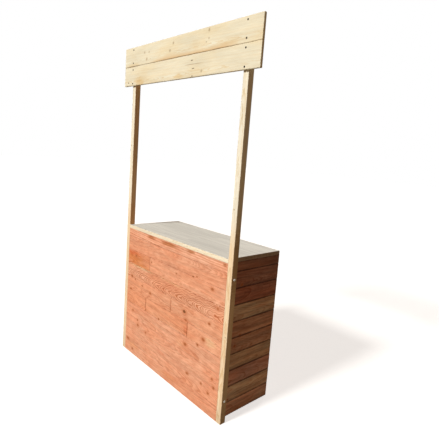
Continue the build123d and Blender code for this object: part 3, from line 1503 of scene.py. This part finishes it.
@dataclass(frozen=True)
class ScrewHead:
    """A screw head with a six-lobed recess, drawn about its axis, with a washer where that has a radius."""

    radius: float
    height: float
    dome: float
    recess: float
    washer: float = 0.0
    rim_share: float = 0.6
    crown_share: float = 0.9
    washer_height_share: float = 0.45
    washer_rim_share: float = 0.7
    washer_crown_share: float = 0.95
    neck_share: float = 1.04
    dome_share: float = 1.5
    recess_floor_share: float = 0.2
    lobes: int = 6
    lobe_share: float = 0.13
    steps: int = 36

    def mesh(self, name: str) -> bpy.types.Mesh:
        """Builds the head with its underside on the surface.

        Args:
            name: The mesh's name.

        Returns:
            A closed mesh.
        """
        sunk, top = -self.height, self.height + self.dome
        rim, crown = self.height * self.rim_share, self.radius * self.crown_share
        profile = [(self.radius, sunk), (self.radius, rim), (crown, self.height)]
        if self.washer:
            plate = self.height * self.washer_height_share
            profile[:1] = [
                (self.washer, sunk), (self.washer, plate * self.washer_rim_share),
                (self.washer * self.washer_crown_share, plate), (self.radius * self.neck_share, plate),
            ]
        profile.append((self.recess * self.dome_share, top))
        rings = [self.ring(radius, up) for radius, up in profile]
        for up in (top, self.height * self.recess_floor_share):
            rings.append(self.ring(self.recess, up, self.lobe_share))
        return sweep(name, rings, [0.0] * self.steps)

    def ring(self, radius: float, up: float, lobe_share: float = 0.0) -> list[Point]:
        """Draws a ring about the axis.

        Args:
            radius: Its radius.
            up: Its height over the surface.
            lobe_share: How far its lobes reach in and out, as a share of the radius.

        Returns:
            The points of the ring.
        """
        points = []
        for step in range(self.steps):
            angle = math.tau * step / self.steps
            reach = radius * (1.0 + lobe_share * math.cos(self.lobes * angle))
            points.append((reach * math.cos(angle), reach * math.sin(angle), up))
        return points


@dataclass
class Fixings:
    """Screws through the header boards into the posts, and washer-head screws through the posts."""

    dark: bpy.types.Material
    zinc: bpy.types.Material
    small: ScrewHead = ScrewHead(radius=0.0060, height=0.0006, dome=0.0002, recess=0.0021)
    wide: ScrewHead = ScrewHead(radius=0.0050, height=0.0034, dome=0.0006, recess=0.0023, washer=0.0080)
    in_lower_board: Span = (0.016, 0.024)
    in_upper_board: Span = (0.026, 0.020)
    post_heights: Span = (0.160, 0.982)
    sharp_from: float = 35.0
    seed: int = 7

    def build(self, tree: bpy.types.NodeTree) -> None:
        """Sets the screws on the header and on the outside of the posts.

        Args:
            tree: The group that sets screw heads.
        """
        posts = {name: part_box(name) for name in ("left_post", "right_post")}
        places: list[Point] = []
        for low, high in posts.values():
            middle = (low.x + high.x) / 2
            for board, (up, down) in (("lower", self.in_lower_board), ("upper", self.in_upper_board)):
                bottom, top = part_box(f"{board}_header_board")
                places.append((middle, bottom.y, bottom.z + up))
                places.append((middle, bottom.y, top.z - down))
        self.set_heads(tree, "header_screws", self.small, places, (0.0, -1.0, 0.0), self.dark)
        for name, side in (("left_post", -1.0), ("right_post", 1.0)):
            low, high = posts[name]
            face = low.x if side < 0.0 else high.x
            spots = [(face, (low.y + high.y) / 2, height) for height in self.post_heights]
            self.set_heads(tree, f"{name}_screws", self.wide, spots, (side, 0.0, 0.0), self.zinc)

    def set_heads(
        self, tree: bpy.types.NodeTree, name: str, head: ScrewHead, places: list[Point], facing: Point,
        finish: bpy.types.Material,
    ) -> None:
        """Sets one kind of screw head on a face.

        Args:
            tree: The group that sets screw heads.
            name: The piece's name.
            head: The kind of head.
            places: Points on the face.
            facing: The face's outward normal.
            finish: The head's material.
        """
        lender = hidden_object(f"{name}_unit", head.mesh(f"{name}_unit"))
        inputs = {"Head": lender, "Facing": Vector(facing), "Seed": self.seed, "Material": finish}
        mesh = grow(name, seed_points(name, places), tree, inputs)
        bpy.data.objects.remove(lender)
        soften(mesh, self.sharp_from)
        add_piece(name, mesh)


@dataclass(frozen=True)
class PhotoCamera:
    """The photograph's viewpoint, in the stall's frame."""

    place: Point = (2.2891, -1.9124, 1.7469)
    azimuth: float = 47.14
    pitch: float = 8.59
    roll: float = 4.31
    focal_pixels: float = 394.94
    image_width: float = 439.0
    sensor: float = 36.0

    def build(self) -> None:
        """Makes the camera and hands it to the scene."""
        turn, tilt, lean = (math.radians(angle) for angle in (self.azimuth, self.pitch, self.roll))
        ahead = Vector((-math.sin(turn), math.cos(turn), 0.0))
        forward = ahead * math.cos(tilt) - Vector((0.0, 0.0, math.sin(tilt)))
        level = Vector((math.cos(turn), math.sin(turn), 0.0))
        upright = level.cross(forward)
        right = level * math.cos(lean) + upright * math.sin(lean)
        up = right.cross(forward)
        lens = bpy.data.cameras.new("photo_camera")
        lens.sensor_fit = "HORIZONTAL"
        lens.sensor_width = self.sensor
        lens.lens = self.focal_pixels / self.image_width * self.sensor
        camera = bpy.data.objects.new("photo_camera", lens)
        turned = Matrix((right, up, -forward)).transposed().to_4x4()
        camera.matrix_world = Matrix.Translation(self.place) @ turned
        bpy.context.scene.collection.objects.link(camera)
        bpy.context.scene.camera = camera


@dataclass(frozen=True)
class Studio:
    """Pale floor, white surroundings, a key light from the front and a weak one from behind."""

    floor_size: float = 80.0
    floor_colour: Colour = (0.60, 0.59, 0.57)
    floor_shade: Colour = (0.57, 0.56, 0.54)
    floor_bounce: Colour = (0.24, 0.21, 0.17)
    floor_clouds: Texture = Texture((0.8, 0.8, 0.8))
    floor_shaded: Span = (0.3, 0.7)
    floor_lift: float = 0.68
    white: Colour = (1.0, 1.0, 1.0)
    fill: Colour = (0.187, 0.109, 0.049)
    key_strength: float = 3.28
    key_spread: float = 9.0
    key_from: Point = (-0.07, -0.82, 0.55)
    back_strength: float = 1.2
    back_spread: float = 30.0
    back_from: Point = (-0.34, 0.90, 0.20)

    def shown(self, kit: NodeKit) -> Socket:
        """Adds the test for rays that see the surroundings themselves.

        Args:
            kit: The nodes of the floor or the world.

        Returns:
            One for camera, glossy and transmitted rays, and zero for the rest.
        """
        path = kit.add("ShaderNodeLightPath").outputs
        seen = kit.math("MAXIMUM", path["Is Camera Ray"], path["Is Glossy Ray"])
        return kit.math("MAXIMUM", seen, path["Is Transmission Ray"])

    def build(self) -> None:
        """Builds the world, the floor and both lights, far enough off to light the stall evenly."""
        bpy.context.scene.view_settings.view_transform = "Standard"
        self.build_world()
        self.build_floor()
        self.build_light("key_light", self.key_strength, self.key_spread, self.key_from)
        self.build_light("back_light", self.back_strength, self.back_spread, self.back_from)

    def build_world(self) -> None:
        """Builds surroundings that show white and fill the shadows with a warm light."""
        world = bpy.data.worlds.new("white_surroundings")
        bpy.context.scene.world = world
        world.use_nodes = True
        world.node_tree.nodes.clear()
        kit = NodeKit(world.node_tree)
        light = kit.mix(self.shown(kit), self.fill, self.white)
        sky = kit.add("ShaderNodeBackground", {"Color": light})
        kit.add("ShaderNodeOutputWorld", {"Surface": sky.outputs[0]})

    def build_floor(self) -> None:
        """Builds a floor that shows white, with the stall's shadow on it."""
        half = self.floor_size / 2
        corners = [(-half, -half, 0.0), (half, -half, 0.0), (half, half, 0.0), (-half, half, 0.0)]
        mesh = bpy.data.meshes.new("floor")
        mesh.from_pydata(corners, [], [(0, 1, 2, 3)])
        material, kit = new_material("pale_floor")
        place = kit.add("ShaderNodeTexCoord").outputs["Object"]
        cloud = kit.noise(place, self.floor_clouds)
        tone = kit.mix(kit.step(cloud, self.floor_shaded), self.floor_colour, self.floor_shade)
        seen = self.shown(kit)
        tone = kit.mix(seen, self.floor_bounce, tone)
        matt = kit.add("ShaderNodeBsdfDiffuse", {"Color": tone}).outputs[0]
        lift = kit.math("MULTIPLY", seen, self.floor_lift)
        glow = kit.add("ShaderNodeEmission", {"Color": self.white, "Strength": lift}).outputs[0]
        both = kit.add("ShaderNodeAddShader", {0: matt, 1: glow}).outputs[0]
        kit.add("ShaderNodeOutputMaterial", {"Surface": both})
        mesh.materials.append(material)
        floor = bpy.data.objects.new("floor", mesh)
        bpy.context.scene.collection.objects.link(floor)

    def build_light(self, name: str, strength: float, spread: float, source: Point) -> None:
        """Builds one light.

        Args:
            name: Its name.
            strength: How strong it is.
            spread: How wide it looks from the stall, in degrees.
            source: The direction that it comes from.
        """
        lamp = bpy.data.lights.new(name, "SUN")
        lamp.energy = strength
        lamp.angle = math.radians(spread)
        light = bpy.data.objects.new(name, lamp)
        light.rotation_euler = Vector(source).to_track_quat("Z", "Y").to_euler()
        bpy.context.scene.collection.objects.link(light)


FRONT_KNOTS = (
    Knot(-0.480, 0.865, 0.0085, stretch=2.0), Knot(-0.250, 0.866, 0.005), Knot(0.080, 0.868, 0.006),
    Knot(0.475, 0.873, 0.0095), Knot(0.270, 0.900, 0.0055, stretch=1.8), Knot(0.310, 0.911, 0.0045),
    Knot(0.540, 0.763, 0.0085, stretch=1.0), Knot(-0.535, 0.678, 0.0105), Knot(-0.480, 0.663, 0.0065),
    Knot(-0.370, 0.638, 0.005, stretch=2.0), Knot(-0.250, 0.613, 0.0095),
    Knot(0.200, 0.621, 0.0115, KnotKind.DEAD, 1.5), Knot(0.470, 0.633, 0.0085),
    Knot(-0.545, 0.563, 0.0075, stretch=2.0), Knot(0.220, 0.566, 0.0075, stretch=2.0),
    Knot(0.420, 0.500, 0.0115), Knot(0.365, 0.440, 0.0085), Knot(-0.298, 0.460, 0.006, stretch=0.9),
    Knot(-0.115, 0.448, 0.0065), Knot(-0.495, 0.387, 0.0085), Knot(0.230, 0.388, 0.0115, stretch=1.5),
    Knot(-0.420, 0.325, 0.0065), Knot(-0.410, 0.285, 0.0105), Knot(-0.290, 0.265, 0.0095, stretch=0.8),
    Knot(0.535, 0.270, 0.0080, stretch=1.0), Knot(0.555, 0.216, 0.0095, stretch=1.0),
    Knot(0.505, 0.152, 0.0080), Knot(0.430, 0.185, 0.0070), Knot(0.272, 0.184, 0.0080, stretch=1.6),
    Knot(-0.560, 0.110, 0.0095, stretch=1.9), Knot(-0.480, 0.045, 0.0090),
)
FRONT_PATCHES = (
    # The first four patches are dark brown marks along the top of the top course, just under the counter.
    Patch(-0.272, 1.063, 0.070, 0.016, DEEP_BROWN, 0.8), Patch(-0.030, 1.060, 0.130, 0.017, DEEP_BROWN, 0.85),
    Patch(0.226, 1.065, 0.055, 0.014, DEEP_BROWN, 0.8), Patch(0.574, 1.065, 0.022, 0.013, DEEP_BROWN, 0.8),
    Patch(-0.500, 0.835, 0.160, 0.050, HONEY, 0.75), Patch(-0.535, 0.878, 0.120, 0.022, ROSE, 0.8),
    Patch(-0.330, 0.800, 0.080, 0.014, HONEY, 0.5), Patch(0.490, 0.505, 0.060, 0.034, SAPWOOD_AND_HIGHLIGHT, 0.8),
    Patch(0.175, 0.370, 0.050, 0.028, SAPWOOD_AND_HIGHLIGHT, 0.30), Patch(-0.060, 0.194, 0.060, 0.012, ROSE, 0.5),
    # These two thin pale lines along the seam under the amber board are painted highlight on the upward
    # chamfer, and partly the edge's paler wood.
    Patch(-0.400, 0.780, 0.210, 0.009, SAPWOOD_AND_HIGHLIGHT, 0.9), Patch(0.020, 0.781, 0.190, 0.008, SAPWOOD_AND_HIGHLIGHT, 0.7),
    Patch(0.222, 0.508, 0.024, 0.046, ROSE, 0.45),
    Patch(-0.480, 0.080, 0.110, 0.026, HONEY, 0.4), Patch(0.030, 0.052, 0.110, 0.022, HONEY, 0.35),
    Patch(0.230, 0.478, 0.030, 0.010, DEEP_BROWN, 0.45), Patch(0.250, 0.560, 0.060, 0.008, ROSE, 0.5),
)
HEADER_KNOTS = (
    Knot(-0.459, 2.462, 0.0075, stretch=0.9), Knot(-0.399, 2.458, 0.0060, stretch=0.9),
    Knot(-0.426, 2.410, 0.0095, stretch=0.8), Knot(-0.089, 2.478, 0.0095, stretch=0.8),
    Knot(-0.126, 2.432, 0.0095, stretch=0.9), Knot(0.289, 2.500, 0.0100, stretch=0.7),
    Knot(0.291, 2.452, 0.0060, stretch=0.8), Knot(0.268, 2.432, 0.0040),
    Knot(0.131, 2.337, 0.0035, KnotKind.DEAD, 3.2), Knot(0.149, 2.284, 0.0032, KnotKind.DEAD, 4.0),
    Knot(0.236, 2.260, 0.0085, stretch=0.8), Knot(0.141, 2.236, 0.0030, KnotKind.DEAD, 2.5),
    Knot(-0.684, 2.255, 0.0028, KnotKind.DEAD, 3.5),
)
HEADER_PATCHES = (
    Patch(-0.525, 2.256, 0.080, 0.034, OCHRE, 0.8), Patch(-0.010, 2.248, 0.055, 0.020, OCHRE, 0.7),
    Patch(-0.620, 2.385, 0.090, 0.012, OCHRE, 0.4), Patch(0.180, 2.430, 0.110, 0.030, OCHRE, 0.3),
    Patch(0.490, 2.405, 0.120, 0.026, OCHRE, 0.4),
)
POST_PATCHES = (Patch(0.644, 1.08, 0.004, 0.22, RUBBED, 0.9),)
POST_KNOTS = (
    Knot(0.628, 0.602, 0.005), Knot(0.615, 1.420, 0.004), Knot(-0.628, 1.760, 0.005),
    Knot(-0.612, 0.830, 0.004),
)

FRONT_TONES = {
    (1, 0): Tone.PINK, (2, 0): Tone.PINK, (3, 0): Tone.PINK, (4, 0): Tone.PINK, (5, 0): Tone.RUST,
    (5, 1): Tone.RUST, (5, 2): Tone.SALMON, (6, 0): Tone.SALMON, (6, 1): Tone.SALMON,
    (7, 0): Tone.PALE, (8, 0): Tone.AMBER, (8, 1): Tone.PALE, (9, 0): Tone.PINK, (10, 0): Tone.ROSY,
}
FRONT_LOGS = {
    (7, 0): Log(along=17.1, depth=-0.020, across=0.021, ring_width=0.0120, taper=-0.40, bold=3.1),
    (10, 0): Log(along=7.0, depth=-0.030, across=0.085, ring_width=0.0150, taper=0.03, bold=2.0),
}


def side_knots(
    draw: random.Random, count: int = 6, clear: float = 0.03, radii: Span = (0.005, 0.010)
) -> tuple[Knot, ...]:
    """Scatters knots over a side wall.

    Args:
        draw: The seeded source of random numbers.
        count: How many knots.
        clear: How far they stay from the wall's edges.
        radii: The smallest and the largest radius.

    Returns:
        The knots, with their places along and up the wall.
    """
    low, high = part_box("right_board_02")
    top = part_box("counter_panel")[0].z
    knots = []
    for _ in range(count):
        along = draw.uniform(low.y + clear, high.y - clear)
        knots.append(Knot(along, draw.uniform(clear, top - clear), draw.uniform(*radii)))
    return tuple(knots)


class Finishes:
    """The stall's materials, each built once on the shared groups."""

    def __init__(self, draw: random.Random, joints: tuple[Joint, ...]) -> None:
        """Builds every finish.

        Args:
            draw: The seeded source of random numbers.
            joints: The front boards' end joints.
        """
        self.softwood = Softwood().build()
        self.grime_and_shade = GrimeAndShade().build()
        self.front, self.sides = self.cladding(draw, joints)
        self.post, self.header, self.frame_wood, self.panel_edge = self.pale_timber()
        self.panel_top, self.panel_ends = self.panel()
        self.dark_steel, self.zinc = self.steel()

    def wood(self, finish: WoodFinish) -> bpy.types.Material:
        """Builds one wood finish on the shared groups."""
        return finish.build(self.softwood, self.grime_and_shade)

    def cladding(
        self, draw: random.Random, joints: tuple[Joint, ...]
    ) -> tuple[bpy.types.Material, dict[Side, bpy.types.Material]]:
        """Builds the boards' finishes.

        Args:
            draw: The seeded source of random numbers.
            joints: The front boards' end joints.

        Returns:
            The front boards' finish, and the side boards' finishes by side.
        """
        larch = {"early": (0.865, 0.412, 0.239), "late": (0.56, 0.175, 0.07), "fleck_contrast": 0.5}
        front = CladdingFinish(
            "front_board_wood", knots=FRONT_KNOTS, patches=FRONT_PATCHES, joints=joints, seam_grime_and_shade=0.14,
            splash_grime=0.08, ring_contrast=0.6, band_contrast=0.18, streak_contrast=0.12,
            wander=0.042, **larch,
        )
        # On the shaded side walls the seams are darker still: dirt and painted shade in the V-grooves.
        shaded = {
            "knot_face": Axis.ACROSS, "seam_grime_and_shade": 0.75, "streak_contrast": 0.32, "band_contrast": 0.4,
            "specular": 0.04, "grime_and_shade": (0.045, 0.020, 0.010), "splash_grime": 0.05, "halo_strength": 0.3,
        }
        sides = {}
        for side in (Side.LEFT, Side.RIGHT):
            name = f"{side.value}_board_wood"
            sides[side] = self.wood(CladdingFinish(name, knots=side_knots(draw), **shaded, **larch))
        return self.wood(front), sides

    def pale_timber(self) -> tuple[bpy.types.Material, ...]:
        """Builds the finishes of the pale planed timber.

        Returns:
            The finishes of the posts, the header, the inner frame and the panel's front edge.
        """
        spruce = {
            "late": (0.77, 0.60, 0.34), "knot_colour": (0.36, 0.28, 0.17), "halo_colour": (0.70, 0.58, 0.37),
            "halo_strength": 0.35, "knot_strength": 0.8, "dead_colour": (0.16, 0.11, 0.06),
            "band_contrast": 0.22, "streak_contrast": 0.08, "specular": 0.06,
        }
        pale, cream, butter = (0.96, 0.905, 0.735), (0.885, 0.845, 0.66), (0.94, 0.845, 0.64)
        low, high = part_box("right_post")
        seam = (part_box("upper_header_board")[0].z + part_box("lower_header_board")[1].z) / 2
        post = PostFinish(
            "post_wood", early=pale, knots=POST_KNOTS, patches=POST_PATCHES, sides=(low.x, high.x),
            seam_grime_and_shade=0.08, **spruce,
        )
        header = HeaderFinish(
            "header_wood", early=cream, knots=HEADER_KNOTS, patches=HEADER_PATCHES, seam_height=seam,
            seam_grime_and_shade=0.05, **spruce,
        )
        inner = WoodFinish("frame_wood", early=cream, seam_grime_and_shade=0.3, **spruce)
        edge = WoodFinish("counter_edge_wood", early=butter, seam_grime_and_shade=0.05, **spruce)
        return tuple(self.wood(finish) for finish in (post, header, inner, edge))

    def panel(self) -> tuple[bpy.types.Material, bpy.types.Material]:
        """Builds the finishes of the counter panel.

        Returns:
            The finishes of its weathered top and of its end grain, whose dark colour is partly painted
            shade.
        """
        top = PanelFinish(
            "counter_top_wood", early=(0.76, 0.765, 0.705), late=(0.635, 0.61, 0.53), seam_grime_and_shade=0.1,
            streak_contrast=0.10, specular=0.08, roughness=0.6, ring_contrast=0.4,
        )
        # The ends' dark colour is end grain and painted shade together.
        ends = WoodFinish(
            "counter_end_wood", early=(0.42, 0.31, 0.22), late=(0.26, 0.17, 0.11), seam_grime_and_shade=0.2,
            specular=0.05,
        )
        return self.wood(top), self.wood(ends)

    def steel(self) -> tuple[bpy.types.Material, bpy.types.Material]:
        """Builds the finishes of the screws.

        Returns:
            The finishes of the dark ones and of the zinc-plated ones.
        """
        dark = SteelFinish(
            "dark_screw_steel", bright=(0.020, 0.013, 0.008), dull=(0.012, 0.008, 0.005), metallic=0.0,
            roughness=0.7, specular=0.08,
        )
        zinc = SteelFinish("zinc_screw_steel", bright=(0.52, 0.49, 0.43), dull=(0.34, 0.31, 0.26))
        return dark.build(), zinc.build()


@dataclass
class MarketStall:
    """The whole stall: its sub-assemblies, in building order."""

    seed: int = 2417
    # Side-wall tints from the ground up: each board's own tone, with painted light that makes the wall paler
    # low down and darker high up.
    side_courses: tuple[Tone, ...] = (
        Tone.BROWN, Tone.DRAB, Tone.CHESTNUT, Tone.TAN, Tone.RED_BROWN, Tone.RED_BROWN, Tone.TAN,
        Tone.CLARET, Tone.MAROON, Tone.DARK_RED,
    )
    front_tones: tuple[Tone, ...] = (Tone.SALMON, Tone.PINK, Tone.SALMON, Tone.RUST)
    front_seed: int = 3
    left_seed: int = 4
    right_seed: int = 5
    long_spans: int = 24

    def build(self) -> None:
        """Builds every sub-assembly of the stall."""
        draw = random.Random(self.seed)
        front = Courses(Side.FRONT, Axis.ACROSS)
        finishes = Finishes(draw, front.joints())
        self.build_walls(front, finishes)
        for name in ("left_post", "right_post"):
            log = SPRUCE.sawn(draw)
            Timber(name, Axis.UP, finishes.post, Slot.POSTS, log, spans=self.long_spans).build()
        for name in ("upper_header_board", "lower_header_board"):
            log = SPRUCE.sawn(draw)
            Timber(name, Axis.ACROSS, finishes.header, Slot.POSTS, log, spans=self.long_spans).build()
        log = SPRUCE.sawn(draw)
        CounterPanel(finishes.panel_top, finishes.panel_edge, finishes.panel_ends, log).build()
        self.build_inner_frame(finishes.frame_wood, draw)
        Fixings(finishes.dark_steel, finishes.zinc).build(screw_tree())

    def build_walls(self, front: Courses, finishes: Finishes) -> None:
        """Builds the three boarded sides.

        Args:
            front: The courses of the front.
            finishes: The stall's materials.
        """
        tree = board_tree()
        section = BoardSection()
        wall = Wall(
            front, section, finishes.front, FRONT_TONES, self.front_tones, FRONT_LOGS, seed=self.front_seed
        )
        wall.build(tree)
        tones = {(number + 1, 0): tone for number, tone in enumerate(self.side_courses)}
        quarter = math.pi / 2
        for side, turn, seed in (
            (Side.LEFT, -quarter, self.left_seed), (Side.RIGHT, quarter, self.right_seed)
        ):
            courses = Courses(side, Axis.DEEP, turn)
            Wall(courses, section, finishes.sides[side], tones, self.side_courses, seed=seed).build(tree)

    def build_inner_frame(self, finish: bpy.types.Material, draw: random.Random) -> None:
        """Builds the battens, stud and rails inside the box.

        Args:
            finish: Their material.
            draw: The seeded source of random numbers.
        """
        grain = {
            "batten": Axis.UP, "stud": Axis.UP, "front_top_rail": Axis.ACROSS,
            "back_top_rail": Axis.ACROSS, "left_top_rail": Axis.DEEP, "right_top_rail": Axis.DEEP,
            "back_bottom_rail": Axis.ACROSS,
        }
        for node in sorted(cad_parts):
            for ending, axis in grain.items():
                if node.endswith(ending):
                    Timber(node, axis, finish, Slot.FRAME, SPRUCE.sawn(draw)).build()


def main() -> None:
    """Builds the stall, the studio and the camera."""
    logging.basicConfig(level=logging.INFO)
    MarketStall().build()
    Studio().build()
    PhotoCamera().build()


if __name__ == "__main__":
    main()
